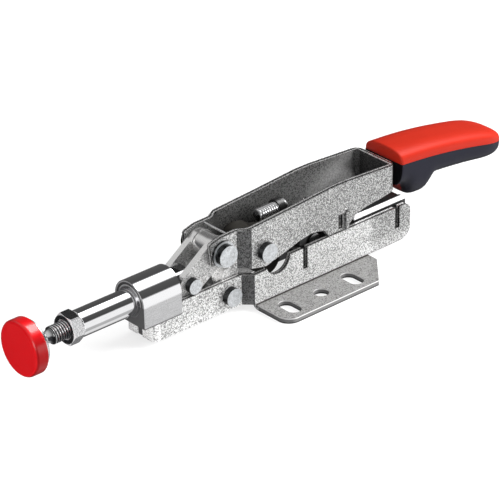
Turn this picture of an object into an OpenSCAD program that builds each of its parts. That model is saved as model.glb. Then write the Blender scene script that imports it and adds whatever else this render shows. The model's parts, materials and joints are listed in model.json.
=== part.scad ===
// In-line toggle clamp with a self-adjusting rear anchor, shown closed and locked.
// X runs from the pressure pad at the front (negative) to the grip at the rear (positive).
// Z is up from the mounting plane. The origin is midway between the two middle flange holes.
// Points written as [x, z] lie in the side view, and each pivot runs along Y.

/* [Frame] */
// Outer width across the rear walls
frame_w = 27; // [26.5:0.5:29]
// Outer width across the front walls and the guide block
front_w = 19; // [18.6:0.2:20]
// Thickness of the frame and handle sheet
sheet_t = 2.5; // [2.2:0.1:2.6]
// Height of the rear walls above the mounting plane
wall_h = 19.6; // [19:0.2:20]
// Length of each flange
flange_len = 65.5; // [62:0.5:72]
// Overall width across both flanges
flange_span = 67; // [66:1:76]
// Diameter of the round holes and width of the slots in the flanges
hole_d = 7; // [5:0.5:7.5]
// End-to-end length of each flange slot
slot_len = 12; // [9:0.5:13]
// Distance from one hole to the next along a flange
hole_pitch = 18.2; // [16:0.1:19]
// Distance from the holes of one flange to those of the other
hole_span = 48.6; // [48:0.2:50]

/* [Plunger] */
// Diameter of the plunger
plunger_d = 12; // [11:0.5:12.5]
// Height of the plunger's axis above the mounting plane
axis_h = 21; // [20.8:0.1:21.4]
// Length of the plunger from its front end to the link pin
plunger_reach = 57.4; // [54:0.2:62]
// Length of the guide block along the plunger
block_len = 20.5; // [16:0.5:21]
// Radial running clearance between a shaft and its hole
run_gap = 0.05; // [0.02:0.01:0.1]

/* [Spindle and pad] */
// Thread diameter of the adjusting spindle
spindle_d = 8; // [6:1:8]
// Width across flats of the lock nut
nut_af = 13; // [12:0.5:14]
// Thickness of the lock nut
nut_t = 5.5; // [4:0.5:6.5]
// Diameter of the soft pad cap
cap_d = 25; // [22:0.5:28]
// Thickness of the soft pad cap
cap_t = 6.4; // [5.6:0.2:8]

/* [Linkage] */
// Shank diameter of the linkage pins
pin_d = 6; // [5:0.25:6]
// Length of the front links between pin centres
link_len = 18.4; // [17.8:0.2:18.8]
// Width of each front link
link_w = 12.2; // [11.8:0.2:12.4]
// Thickness of each front link
link_t = 2.95; // [2:0.05:3]
// Length of the support lever between pin centres
lever_len = 22.15; // [21.8:0.05:22.3]
// Distance between the two pivots of the handle
handle_arm = 22.3; // [21.8:0.1:22.6]
// Length of the rear strut between pin centres
strut_len = 31.9; // [31:0.1:32.4]

/* [Handle and grip] */
// Outer width of the handle at the rear
handle_w = 25; // [24.5:0.1:25.4]
// Width of the grip
grip_w = 26.5; // [23:0.5:30]
// Length of the grip
grip_len = 72; // [66:1:90]
// Diameter of the force adjusting screw
screw_d = 6.5; // [5:0.5:7]

/* [Hidden] */
$fn = 64;

// Half widths across the clamp, from the middle plane outwards
y_frame = frame_w / 2;
y_front = front_w / 2;
y_frame_in = y_frame - sheet_t;
y_front_in = y_front - sheet_t;
y_handle = handle_w / 2;
y_handle_in = y_handle - sheet_t;
side_gap = 0.3;
y_link_out = y_front_in - side_gap;
y_link_in = y_link_out - link_t;
y_tang = y_link_in - side_gap;

// Stations along the clamp
flange_front = -27.5;
flange_rear = flange_front + flange_len;
jog_x = -32.4;
jog_run = y_frame - y_front;
bend_shift = sheet_t * tan(22.5);
front_x = -81;
rear_x = 63.5;
low_edge = 2.8;
lip_gap = 1.6;

// Pivots in the side view, worked out from the lever outwards
lever_angle = 100.1;
arm_angle = -14.5;
strut_angle = -13;
frame_pivot = [-38.8, 9.7];
handle_pivot = frame_pivot + lever_len * [cos(lever_angle), sin(lever_angle)];
rear_pivot = handle_pivot + handle_arm * [cos(arm_angle), sin(arm_angle)];
anchor_pivot = rear_pivot + strut_len * [cos(strut_angle), sin(strut_angle)];
link_rise = handle_pivot.y - axis_h;
link_pivot = [handle_pivot.x - sqrt(link_len * link_len - link_rise * link_rise), axis_h];
plunger_front = link_pivot.x - plunger_reach;
block_gap = 1.6;
block_rear = link_pivot.x - link_w / 2 - block_gap;
block_front = block_rear - block_len;
seat_under_arch = 0.5;
block_seat = axis_h - front_w / 2 - seat_under_arch;
link_head_d = pin_d + 0.8;
pin_over_wall = 0.6;
front_h = axis_h - link_head_d / 2 - pin_over_wall;

// Play in the two pivots where the closed linkage is opened
eye_play = 1.3;
track_play = 1.05;
track_fore = 1.4;
track_run = 4.5;

// Rivet heads: how far they stand proud, near and far, and how far they reach past the shank
head_proud = 3;
far_proud = 0.6;
far_reach = 1;
frame_head_d = pin_d + 2.4;
handle_head_d = pin_d + 3.8;
rear_head_d = pin_d + 2.6;
washer_t = 1.2;
washer_d = handle_head_d + 2;

// Spindle, nut and pad stations
nut_front = plunger_front - nut_t;
spindle_out = 15.6;
thread_in = 24;
pad_rear = nut_front - spindle_out;
disc_t = 6;
disc_lip = 1.8;
cap_front = pad_rear - disc_lip - cap_t;
ball_r = 3.4;
ball_x = pad_rear - 2.2;

// Rear anchor housing
housing_y = y_frame_in - 1.3;
housing_t = 2.2;
housing_front = -3;
housing_rear = 64;
housing_foot = 3.4;
roof_front = 33;
roof_top = 21.8;
roof_radius = 2.4;
roof_bend_r = 1.6;
ear_front = [-0.45, 54.4];
ear_w = 2.6;
ear_sunk = 1.8;
ear_base = 9.6;
ear_play = 0.1;

// Strut, with the carriage close behind its eye at the end of the track
strut_w = 9.4;
strut_boss_d = 10.6;
belly_offset = [6, -9];
belly_d = 14;
carriage_front = anchor_pivot.x + track_run + strut_w / 2 + 0.6;
carriage_len = 14;
carriage_travel = 8;
carriage_half = housing_y - housing_t - side_gap;
carriage_foot = 6.2;
carriage_top = wall_h - 0.6;
slope_start = 4;
slope_drop = 4.8;
key_front = carriage_front + 3;
key_len = 6;
key_h = 3;
key_proud = 0.2;

// Coil spring between the carriage and its seat in the housing
spring_z = 10.2;
spring_r = 2.6;
wire_r = 0.55;
spring_pocket = 3;
spring_gap = 0.1;
spring_seat = housing_rear - 6;
seat_t = 2.2;
seat_h = 8;
spring_front = carriage_front + carriage_len - spring_pocket + spring_gap;
spring_rear = spring_seat - spring_gap;
spring_turns = 9;
ring_steps = 18;
ring_sides = 8;

// Place of the force adjusting screw inside the handle
screw_pos = rear_pivot + [18.3, 9.5];
screw_len = 16;
screw_rear = 4;

// Handle stations
grip_front = 60;
grip_rear = grip_front + grip_len;
part_start_z = 38.6;
part_slope = 0.06;
part_curve = 0.0016;
end_r = 20;
nose_r = 3;
nose_shrink = 0.05;
upper_height = 6.4;
lower_depth = 11.4;
depth_slope = 0.03;
stop_x = 10;
stop_run = 6.5;
stop_depth = 6;
round_power = 0.8;
square_power = 0.55;
square_run = 14;
tang_z = 34;
tang_half = 3;
tang_h = 6;
tang_len = 45;
tang_tilt = 6;
tang_gap = 0.1;
handle_rear = 56;
handle_corner_r = 4;
handle_jog_x = -34.6;
handle_jog_end = -28.8;
lug_front = 15.5;
lug_rear = 27.5;
lug_h = 8;
window_front = 21.1;
window_w = 2.6;
lug_rest = wall_h + 0.1;

steel = [0.72, 0.72, 0.73];
bright = [0.86, 0.86, 0.88];
zinc = [0.78, 0.78, 0.77];
dark = [0.35, 0.35, 0.37];
red = [0.86, 0.15, 0.11];
anthracite = [0.21, 0.21, 0.26];

// Extrudes a side view outline from y0 to y1
module side_slab(y0, y1) {
    translate([0, y1, 0])
        rotate([90, 0, 0])
            linear_extrude(y1 - y0) children();
}

// Repeats its children on both sides of the middle plane
module both_sides() {
    children();
    mirror([0, 1, 0]) children();
}

// Solid bar along X
module x_rod(x0, x1, d) {
    translate([x0, 0, axis_h])
        rotate([0, 90, 0])
            cylinder(h = x1 - x0, d = d);
}

// Solid bar along Y through a side view point
module y_rod(p, y0, y1, d) {
    translate([p.x, y1, p.y])
        rotate([90, 0, 0])
            cylinder(h = y1 - y0, d = d);
}

// Flat bar outline with round ends between two points
module bar_outline(p, q, w) {
    d = q - p;
    translate(p) circle(d = w);
    translate(q) circle(d = w);
    translate(p)
        rotate(atan2(d.y, d.x))
            translate([0, -w / 2]) square([norm(d), w]);
}

// Rectangle outline from its low corner to its high corner
module box_outline(low, high) {
    translate(low) square(high - low);
}

// Cutter that rounds a convex corner: side gives the way out of the material on each axis
module corner_cutter(p, r, side) {
    over = 0.2;
    difference() {
        translate(p - [side.x > 0 ? r : over, side.y > 0 ? r : over])
            square(r + over);
        translate(p - r * side) circle(r = r);
    }
}

// Plan view of one frame half: front lip, front wall, outward jog and rear wall
module frame_plan() {
    difference() {
        polygon([[front_x, lip_gap], [front_x, y_front], [jog_x, y_front],
                 [jog_x + jog_run, y_frame], [rear_x, y_frame], [rear_x, y_frame_in],
                 [jog_x + jog_run + bend_shift, y_frame_in], [jog_x + bend_shift, y_front_in],
                 [front_x + sheet_t, y_front_in], [front_x + sheet_t, lip_gap]]);
        corner_cutter([front_x, y_front], 3, [-1, 1]);
    }
}

// Side view of one frame half
module frame_side() {
    notch_r = 7;
    notch_x = rear_pivot.x + 6.3;
    step_x = notch_x - 6.6;
    difference() {
        union() {
            box_outline([front_x - 1, low_edge], [block_rear, block_seat]);
            box_outline([block_rear - 0.01, low_edge], [step_x, front_h]);
            box_outline([step_x - 0.01, low_edge], [rear_x, wall_h]);
            box_outline([flange_front, 0], [flange_rear, low_edge + 0.01]);
        }
        translate([notch_x, wall_h + 0.3]) circle(r = notch_r);
        corner_cutter([rear_x, wall_h], 3.5, [1, 1]);
        corner_cutter([rear_x, low_edge], 6, [1, -1]);
        corner_cutter([block_rear, front_h], 1, [-1, 1]);
        for (x = ear_front)
            box_outline([x - ear_play, ear_base - ear_play],
                        [x + ear_w + ear_play, wall_h + 1]);
    }
}

// Plan view of one flange
module flange_plan() {
    cut_x = 12.5;
    cut_y = 14.5;
    y_out = flange_span / 2;
    difference() {
        polygon([[flange_front, y_frame_in], [flange_front, y_out],
                 [flange_rear - cut_x, y_out], [flange_rear, y_out - cut_y],
                 [flange_rear, y_frame_in]]);
        corner_cutter([flange_front, y_out], 6, [-1, 1]);
    }
}

// Holes and slots through one flange
module flange_holes() {
    slot_run = slot_len - hole_d;
    translate([0, hole_span / 2, -1])
        cylinder(h = sheet_t + 2, d = hole_d);
    for (x = [-hole_pitch, hole_pitch])
        translate([x, hole_span / 2, -1])
            linear_extrude(sheet_t + 2)
                bar_outline([0, -slot_run / 2], [0, slot_run / 2], hole_d);
}

// One stamped half of the frame, drawn on the positive Y side
module frame_half() {
    bend_r = 3;
    difference() {
        union() {
            intersection() {
                linear_extrude(wall_h) frame_plan();
                side_slab(0, y_frame + 1) frame_side();
            }
            linear_extrude(sheet_t) flange_plan();
        }
        translate([flange_front - 1, 0, 0])
            rotate([90, 0, 90])
                linear_extrude(flange_len + 2)
                    corner_cutter([y_frame_in, 0], bend_r, [-1, -1]);
        flange_holes();
        y_rod(frame_pivot, 0, y_frame, pin_d);
    }
}

module frame_left() {
    color(zinc) mirror([0, 1, 0]) frame_half();
}

module frame_right() {
    color(zinc) frame_half();
}

// Arched block that guides the plunger, with a tongue held between the frame halves
module guide_block() {
    mouth = 1;
    tongue_front = front_x + sheet_t + 0.1;
    color(steel) difference() {
        union() {
            translate([block_front, 0, 0])
                rotate([90, 0, 90])
                    linear_extrude(block_len)
                        union() {
                            translate([0, axis_h]) circle(d = front_w);
                            box_outline([-y_front, block_seat], [y_front, axis_h]);
                        }
            translate([tongue_front, -y_front_in + 0.05, low_edge + 0.2])
                cube([block_rear - 1.5 - tongue_front, 2 * y_front_in - 0.1,
                      block_seat - low_edge]);
            translate([front_x + 0.4, -lip_gap + 0.1, low_edge + 0.2])
                cube([tongue_front - front_x, 2 * lip_gap - 0.2, block_seat - low_edge]);
        }
        x_rod(block_front - 1, block_rear + 1, plunger_d + 2 * run_gap);
        translate([block_front - 0.01, 0, axis_h])
            rotate([0, 90, 0])
                cylinder(h = mouth, d1 = plunger_d + 2 * mouth, d2 = plunger_d);
    }
}

// Rivet with a round head on the negative Y side and a low upset end on the other
module rivet(p, grip_y, head_d) {
    y_rod(p, -grip_y - head_proud, -grip_y, head_d);
    y_rod(p, -grip_y - 0.01, grip_y + 0.01, pin_d);
    y_rod(p, grip_y, grip_y + far_proud, pin_d + far_reach);
}

module frame_pin() {
    color(bright) rivet(frame_pivot, y_front, frame_head_d);
}

// Lever that swings on the frame pin and carries the handle pin at its top
module support_lever() {
    hub_d = 11.4;
    foot_d = 10;
    foot_half = y_front_in - 2 * side_gap;
    color(steel) difference() {
        union() {
            side_slab(-y_tang, y_tang)
                union() {
                    translate(handle_pivot) circle(d = hub_d);
                    polygon([frame_pivot + [3, 0], frame_pivot + [7.2, 3.4],
                             frame_pivot + [7.2, 9.4], handle_pivot + [3.2, -2],
                             handle_pivot + [-3.6, -1], frame_pivot + [-3.4, 1]]);
                }
            side_slab(-foot_half, foot_half)
                union() {
                    translate(frame_pivot) circle(d = foot_d);
                    polygon([frame_pivot + [3, -1.5], frame_pivot + [7.2, 3.4],
                             frame_pivot + [7.2, 11.2], frame_pivot + [-0.2, 11.2],
                             frame_pivot + [-3.4, 6], frame_pivot + [-4.2, 0]]);
                }
        }
        y_rod(frame_pivot, -y_frame, y_frame, pin_d + 2 * run_gap);
        y_rod(handle_pivot, -y_frame, y_frame, pin_d + 2 * run_gap);
    }
}

// Polished plunger with a threaded front bore and a flat rear tang
module plunger() {
    tang_front = link_pivot.x - link_w / 2 - 0.5;
    tang_w = plunger_d - 1;
    bore_depth = 30;
    color(bright) difference() {
        union() {
            x_rod(plunger_front + 0.8, tang_front, plunger_d);
            translate([plunger_front, 0, axis_h])
                rotate([0, 90, 0])
                    cylinder(h = 0.81, d1 = plunger_d - 1.6, d2 = plunger_d);
            intersection() {
                x_rod(tang_front - 1, link_pivot.x + tang_w, plunger_d);
                side_slab(-y_tang, y_tang)
                    bar_outline([tang_front, axis_h], link_pivot, tang_w);
            }
        }
        x_rod(plunger_front - 1, plunger_front + bore_depth, spindle_d + 2 * run_gap);
        y_rod(link_pivot, -y_frame, y_frame, pin_d + 2 * run_gap);
    }
}

// Threaded spindle with a ball end for the pad
module spindle() {
    thread_out = 7;
    cone_len = 3;
    cone_rear = nut_front - thread_out;
    neck_d = 4.2;
    color(bright) {
        x_rod(cone_rear, plunger_front + thread_in, spindle_d);
        translate([cone_rear - cone_len, 0, axis_h])
            rotate([0, 90, 0])
                cylinder(h = cone_len + 0.01, d1 = neck_d, d2 = spindle_d);
        x_rod(ball_x, cone_rear - cone_len + 0.1, neck_d);
        translate([ball_x, 0, axis_h]) sphere(r = ball_r);
    }
}

// Chamfered hexagon nut that locks the spindle
module lock_nut() {
    across = nut_af / cos(30);
    rise = (across - nut_af) / 2 * tan(30);
    color(steel) difference() {
        intersection() {
            translate([nut_front, 0, axis_h])
                rotate([0, 90, 0])
                    cylinder(h = nut_t - 0.05, d = across, $fn = 6);
            translate([nut_front, 0, axis_h])
                rotate([0, 90, 0])
                    rotate_extrude()
                        polygon([[0, 0], [nut_af / 2, 0], [across / 2, rise],
                                 [across / 2, nut_t - 0.05 - rise],
                                 [nut_af / 2, nut_t - 0.05], [0, nut_t - 0.05]]);
        }
        x_rod(nut_front - 1, nut_front + nut_t + 1, spindle_d + 2 * run_gap);
    }
}

// Steel disc of the swivel pad with a round socket for the ball
module pad_disc() {
    disc_d = cap_d - 3;
    mouth_d = 2 * ball_r - 0.9;
    color(steel) difference() {
        translate([pad_rear - disc_t, 0, axis_h])
            rotate([0, 90, 0])
                rotate_extrude()
                    polygon([[0, 0], [disc_d / 2, 0], [disc_d / 2, disc_t - 0.6],
                             [disc_d / 2 - 0.6, disc_t], [0, disc_t]]);
        translate([ball_x, 0, axis_h]) sphere(r = ball_r + 0.08);
        x_rod(ball_x, pad_rear + 1, mouth_d);
        translate([pad_rear - 0.8, 0, axis_h])
            rotate([0, 90, 0])
                cylinder(h = 0.81, d1 = mouth_d, d2 = mouth_d + 2.4);
    }
}

// Soft cap pushed over the steel disc
module pad_cap() {
    edge_r = 1.6;
    disc_d = cap_d - 3;
    depth = cap_t - (disc_t - disc_lip);
    color(red) difference() {
        translate([cap_front, 0, axis_h])
            rotate([0, 90, 0])
                rotate_extrude()
                    difference() {
                        square([cap_d / 2, cap_t]);
                        corner_cutter([cap_d / 2, 0], edge_r, [1, -1]);
                        corner_cutter([cap_d / 2, cap_t], edge_r / 2, [1, 1]);
                    }
        x_rod(cap_front + depth, cap_front + cap_t + 1, disc_d);
    }
}

// One flat front link, drawn on the positive Y side
module front_link() {
    color(steel) difference() {
        side_slab(y_link_in, y_link_out) bar_outline(link_pivot, handle_pivot, link_w);
        y_rod(link_pivot, 0, y_frame, pin_d);
        y_rod(handle_pivot, 0, y_frame, pin_d + 2 * eye_play);
    }
}

module front_link_left() {
    mirror([0, 1, 0]) front_link();
}

module front_link_right() {
    front_link();
}

module link_pin() {
    color(bright) rivet(link_pivot, y_link_out, link_head_d);
}

// Plan view of one side of the handle sheet
module handle_plan() {
    half_turn = atan2(y_handle - y_front, handle_jog_end - handle_jog_x) / 2;
    shift = sheet_t * tan(half_turn);
    before_nose = -60;
    inner_r = handle_corner_r - sheet_t;
    rear_in = handle_rear - sheet_t;
    difference() {
        polygon([[before_nose, y_front], [handle_jog_x, y_front], [handle_jog_end, y_handle],
                 [handle_rear, y_handle], [handle_rear, 0], [rear_in, 0],
                 [rear_in, y_handle_in - inner_r], [rear_in - inner_r, y_handle_in],
                 [handle_jog_end + shift, y_handle_in], [handle_jog_x + shift, y_front_in],
                 [before_nose, y_front_in]]);
        corner_cutter([handle_rear, y_handle], handle_corner_r, [1, 1]);
    }
}

// Side view of the handle sheet
module handle_side() {
    nose = [-48.9, 37.1];
    difference() {
        union() {
            polygon([[-47.8, 26.8], nose, [-42.7, 38.8], [-28, 39.1], [-7, 40.4],
                     [18, 42.2], [26, 42.2], [handle_rear, 40.4], [handle_rear, 28.5],
                     [45.8, 26.9], [38, 26.2], [32, 24.8], [lug_rear, lug_rest + 1.5],
                     [lug_rear, lug_rest], [lug_front, lug_rest], [13, 23.2],
                     [9, 24.2], [4.3, 24.5], [-1.5, 23.6], [-9, 21.4], [-15.6, 19.8],
                     rear_pivot + [-1.5, -7.2], [-35.9, 21.7]]);
            translate(rear_pivot) circle(r = 7.4);
        }
        corner_cutter([nose.x, nose.y], 0.8, [-1, 1]);
    }
}

// Pressed stop lug that rests on the frame wall, drawn on the positive Y side
module stop_lug() {
    rib_r = 1.9;
    translate([lug_rear - rib_r, y_handle - 0.6, lug_rest])
        cylinder(h = lug_h, r = rib_r);
    translate([lug_rear - rib_r, y_handle - 0.6, lug_rest + lug_h])
        sphere(r = rib_r);
}

// Tang that the grip is moulded on, grown by a gap for its pocket
module tang(gap) {
    translate([0, -tang_half - gap, -tang_h / 2 - gap])
        cube([tang_len + 3 * gap, 2 * (tang_half + gap), tang_h + 2 * gap]);
}

// Folded handle sheet: two side plates joined by the rear wall, with a tang for the grip
module handle_channel() {
    color(zinc) difference() {
        union() {
            intersection() {
                linear_extrude(60) both_sides() handle_plan();
                side_slab(-y_frame, y_frame) handle_side();
            }
            both_sides() stop_lug();
            translate([handle_rear - 1, 0, tang_z]) rotate([0, tang_tilt, 0]) tang(0);
        }
        both_sides()
            translate([window_front, y_handle_in - 1, lug_rest + 1])
                cube([window_w, sheet_t + 3, lug_h - 1]);
        y_rod(handle_pivot, -y_frame, y_frame, pin_d);
        y_rod(rear_pivot, -y_frame, y_frame, pin_d);
    }
}

module handle_pin() {
    color(bright) rivet(handle_pivot, y_front + washer_t, handle_head_d);
}

// Two washers under the heads of the handle pin
module handle_pin_washers() {
    color(steel) both_sides()
        difference() {
            y_rod(handle_pivot, y_front, y_front + washer_t, washer_d);
            y_rod(handle_pivot, y_front - 1, y_front + washer_t + 1, pin_d);
        }
}

module rear_pin() {
    color(bright) rivet(rear_pivot, y_handle, rear_head_d);
}

// Thin wire across the handle's mouth
module cross_wire() {
    wire_d = 1.1;
    color(steel) y_rod(handle_pivot + [4.6, 6.7], -y_front_in, y_front_in, wire_d);
}

// Set screw with a hexagon socket in its front end
module adjusting_screw() {
    socket_across = 4;
    socket_depth = 3;
    color(bright) translate([screw_pos.x - screw_len + screw_rear, 0, screw_pos.y])
        rotate([0, 90, 0])
            difference() {
                cylinder(h = screw_len, d = screw_d);
                translate([0, 0, -1])
                    cylinder(h = socket_depth + 1, d = socket_across / cos(30), $fn = 6);
            }
}

// Low cross bar with a threaded eye for the adjusting screw
module screw_trunnion() {
    eye_d = screw_d + 2;
    eye_len = 3.6;
    bar_d = 5;
    bar_pos = screw_pos - [0, eye_d / 2 + 1.4];
    color(dark) difference() {
        union() {
            y_rod(bar_pos, -y_handle_in, y_handle_in, bar_d);
            translate([screw_pos.x - eye_len / 2, 0, screw_pos.y])
                rotate([0, 90, 0])
                    cylinder(h = eye_len, d = eye_d);
        }
        translate([screw_pos.x - eye_len, 0, screw_pos.y])
            rotate([0, 90, 0])
                cylinder(h = 2 * eye_len, d = screw_d + 2 * run_gap);
    }
}

// Strut from the rear handle pin to the anchor pin
module strut() {
    boss_y = y_handle_in - side_gap;
    web_y = housing_y - housing_t - side_gap;
    belly_y = y_front_in - side_gap;
    color(steel) difference() {
        union() {
            side_slab(-web_y, web_y) bar_outline(rear_pivot, anchor_pivot, strut_w);
            side_slab(-belly_y, belly_y)
                bar_outline(rear_pivot, rear_pivot + belly_offset, belly_d);
            y_rod(rear_pivot, -boss_y, boss_y, strut_boss_d);
        }
        y_rod(rear_pivot, -y_frame, y_frame, pin_d + 2 * run_gap);
        y_rod(anchor_pivot, -y_frame, y_frame, pin_d);
    }
}

module anchor_pin() {
    color(bright) y_rod(anchor_pivot, -housing_y + 0.2, housing_y - 0.2, pin_d);
}

// Side view of the housing plates, with the track for the anchor pin and the carriage's slot
module housing_side() {
    track_h = pin_d + 2 * track_play;
    crown_low = [anchor_pivot.x - 9, wall_h - 2];
    crown_high = [anchor_pivot.x + track_run + 6, anchor_pivot.y + track_h / 2 + 1.2];
    crown_r = 4;
    difference() {
        union() {
            box_outline([housing_front, housing_foot], [housing_rear, wall_h - 1]);
            box_outline(crown_low, crown_high);
            box_outline([roof_front, housing_foot], [housing_rear, roof_top]);
        }
        bar_outline(anchor_pivot - [track_fore, 0], anchor_pivot + [track_run, 0], track_h);
        box_outline([key_front - side_gap, spring_z - key_h / 2 - run_gap],
                    [key_front + key_len + carriage_travel + side_gap,
                     spring_z + key_h / 2 + run_gap]);
        corner_cutter([crown_low.x, crown_high.y], crown_r, [-1, 1]);
        corner_cutter(crown_high, crown_r, [1, 1]);
        corner_cutter([housing_rear, roof_top], roof_radius, [1, 1]);
        corner_cutter([roof_front, roof_top], roof_radius, [-1, 1]);
        corner_cutter([housing_rear, housing_foot], 6, [1, -1]);
        corner_cutter([housing_front, housing_foot], 3, [-1, -1]);
    }
}

// Inner housing with a roof at the rear, ears that lock into the frame slots and a spring seat
module anchor_housing() {
    ear_y = y_frame - ear_sunk;
    color(dark) difference() {
        union() {
            both_sides() {
                side_slab(housing_y - housing_t, housing_y) housing_side();
                for (x = ear_front)
                    translate([x, housing_y - 0.01, ear_base])
                        cube([ear_w, ear_y - housing_y, wall_h - 1 - ear_base]);
            }
            translate([roof_front + roof_radius, -housing_y, roof_top - housing_t])
                cube([housing_rear - 2 * roof_radius - roof_front, 2 * housing_y, housing_t]);
            translate([spring_seat, -housing_y, spring_z - seat_h / 2])
                cube([seat_t, 2 * housing_y, seat_h]);
        }
        both_sides()
            translate([roof_front - 1, 0, 0])
                rotate([90, 0, 90])
                    linear_extrude(housing_rear - roof_front + 2)
                        corner_cutter([housing_y, roof_top], roof_bend_r, [1, 1]);
    }
}

// Carriage behind the strut, held by side keys that slide in the housing
module adjusting_carriage() {
    rear = carriage_front + carriage_len;
    pocket_d = 2 * (spring_r + wire_r) + 0.3;
    color(steel) difference() {
        union() {
            side_slab(-carriage_half, carriage_half)
                polygon([[carriage_front, carriage_foot], [carriage_front, carriage_top],
                         [carriage_front + slope_start, carriage_top],
                         [rear, carriage_top - slope_drop], [rear, carriage_foot]]);
            side_slab(-housing_y - key_proud, housing_y + key_proud)
                box_outline([key_front, spring_z - key_h / 2],
                            [key_front + key_len, spring_z + key_h / 2]);
        }
        translate([rear - spring_pocket, 0, spring_z])
            rotate([0, 90, 0]) cylinder(h = spring_pocket + 1, d = pocket_d);
    }
}

// Wedge that rides on the carriage's slope
module locking_wedge() {
    slope = slope_drop / (carriage_len - slope_start);
    lead = 2;
    front = carriage_front + slope_start + lead;
    rear = carriage_front + carriage_len;
    top = carriage_top - 0.2;
    color(bright) side_slab(-carriage_half, carriage_half)
        polygon([[front, carriage_top - lead * slope], [rear, carriage_top - slope_drop],
                 [rear, top], [front, top]]);
}

// Points of one ring of the spring wire
function wire_ring(i) = let(a = 360 * i / ring_steps,
                            x = spring_front + wire_r
                                + (spring_rear - spring_front - 2 * wire_r)
                                * i / (ring_steps * spring_turns))
    [for (k = [0 : ring_sides - 1])
        let(b = 360 * k / ring_sides, r = spring_r + wire_r * cos(b))
        [x + wire_r * sin(b), r * cos(a), spring_z + r * sin(a)]];

// Coil spring behind the carriage
module carriage_spring() {
    rings = ring_steps * spring_turns;
    points = [for (i = [0 : rings]) each wire_ring(i)];
    walls = [for (i = [0 : rings - 1]) for (k = [0 : ring_sides - 1])
        let(n = (k + 1) % ring_sides, a = i * ring_sides, b = a + ring_sides)
        each [[a + k, b + k, b + n], [a + k, b + n, a + n]]];
    first_cap = [[for (k = [0 : ring_sides - 1]) k]];
    last_cap = [[for (k = [ring_sides - 1 : -1 : 0]) rings * ring_sides + k]];
    color(bright) polyhedron(points, concat(walls, first_cap, last_cap));
}

// Height of the grip's parting line at a station
function part_z(x) = let(s = x - grip_front) part_start_z - part_slope * s - part_curve * s * s;

// Rounding of the grip towards its rear end, and lightly at its front edge
function end_scale(x) = let(s = x - grip_rear + end_r)
    s > 0 ? sqrt(max(0, 1 - pow(s / end_r, 2))) : 1;
function nose_scale(x) = let(s = grip_front + nose_r - x)
    s > 0 ? 1 - nose_shrink * (1 - sqrt(max(0, 1 - pow(s / nose_r, 2)))) : 1;

// Depth of the lower shell below the parting line, deeper at the finger stop
function stop_bulge(x) = exp(-pow((x - grip_front - stop_x) / stop_run, 4));
function shell_depth(x) = lower_depth - depth_slope * (x - grip_front) + stop_depth * stop_bulge(x);

// Power of a section's rounding, squarer at the front
function section_power(x) = round_power
    - (round_power - square_power) * exp(-pow((x - grip_front) / square_run, 2));

// One point of a shell section: a is the angle round it, h its height or negative depth
function bent(v, p) = sign(v) * pow(abs(v), p);
function shell_point(x, a, w, h, p) = [x, w * bent(cos(a), p), part_z(x) + h * bent(sin(a), p)];

// Stations along the grip, closer together towards the round rear end
shell_steps = 34;
arc_steps = 20;
even_share = 0.35;
rear_stop = 0.05;
function station(i) = let(u = i / shell_steps)
    grip_front + (grip_len - rear_stop) * sin(90 * u) * (even_share * u + 1 - even_share);

// Closed shell half lofted through its sections; lift is above or below the parting line
module shell_half(lower) {
    gap = lower ? -0.05 : 0.05;
    points = [for (i = [0 : shell_steps])
        let(x = station(i), k = end_scale(x) * nose_scale(x), w = grip_w / 2 * k,
            h = (lower ? -shell_depth(x) : upper_height) * k)
        for (j = [0 : arc_steps])
            shell_point(x, 180 * j / arc_steps, w, h, section_power(x)) + [0, 0, gap]];
    ring = arc_steps + 1;
    walls = [for (i = [0 : shell_steps - 1]) for (j = [0 : arc_steps])
        let(n = (j + 1) % ring, a = i * ring, b = a + ring)
        each (lower ? [[a + j, b + n, b + j], [a + j, a + n, b + n]]
                    : [[a + j, b + j, b + n], [a + j, b + n, a + n]])];
    front_cap = [[for (j = [0 : arc_steps]) lower ? arc_steps - j : j]];
    last = shell_steps * ring;
    rear_cap = [[for (j = [0 : arc_steps]) last + (lower ? j : arc_steps - j)]];
    polyhedron(points, concat(walls, front_cap, rear_cap));
}

module grip_shell_upper() {
    color(red) shell_half(false);
}

// Lower shell with the pocket for the handle's tang
module grip_shell_lower() {
    color(anthracite) difference() {
        shell_half(true);
        translate([handle_rear - 1, 0, tang_z]) rotate([0, tang_tilt, 0]) tang(tang_gap);
    }
}

frame_left();
frame_right();
guide_block();
frame_pin();
support_lever();
plunger();
spindle();
lock_nut();
pad_disc();
pad_cap();
front_link_left();
front_link_right();
link_pin();
handle_channel();
handle_pin();
handle_pin_washers();
rear_pin();
cross_wire();
adjusting_screw();
screw_trunnion();
strut();
anchor_pin();
anchor_housing();
adjusting_carriage();
locking_wedge();
carriage_spring();
grip_shell_upper();
grip_shell_lower();
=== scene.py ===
"""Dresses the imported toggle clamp: finishes, threads, moulded grip, studio and camera."""

import json
import math

import bpy
from mathutils import Matrix, Vector


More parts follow.
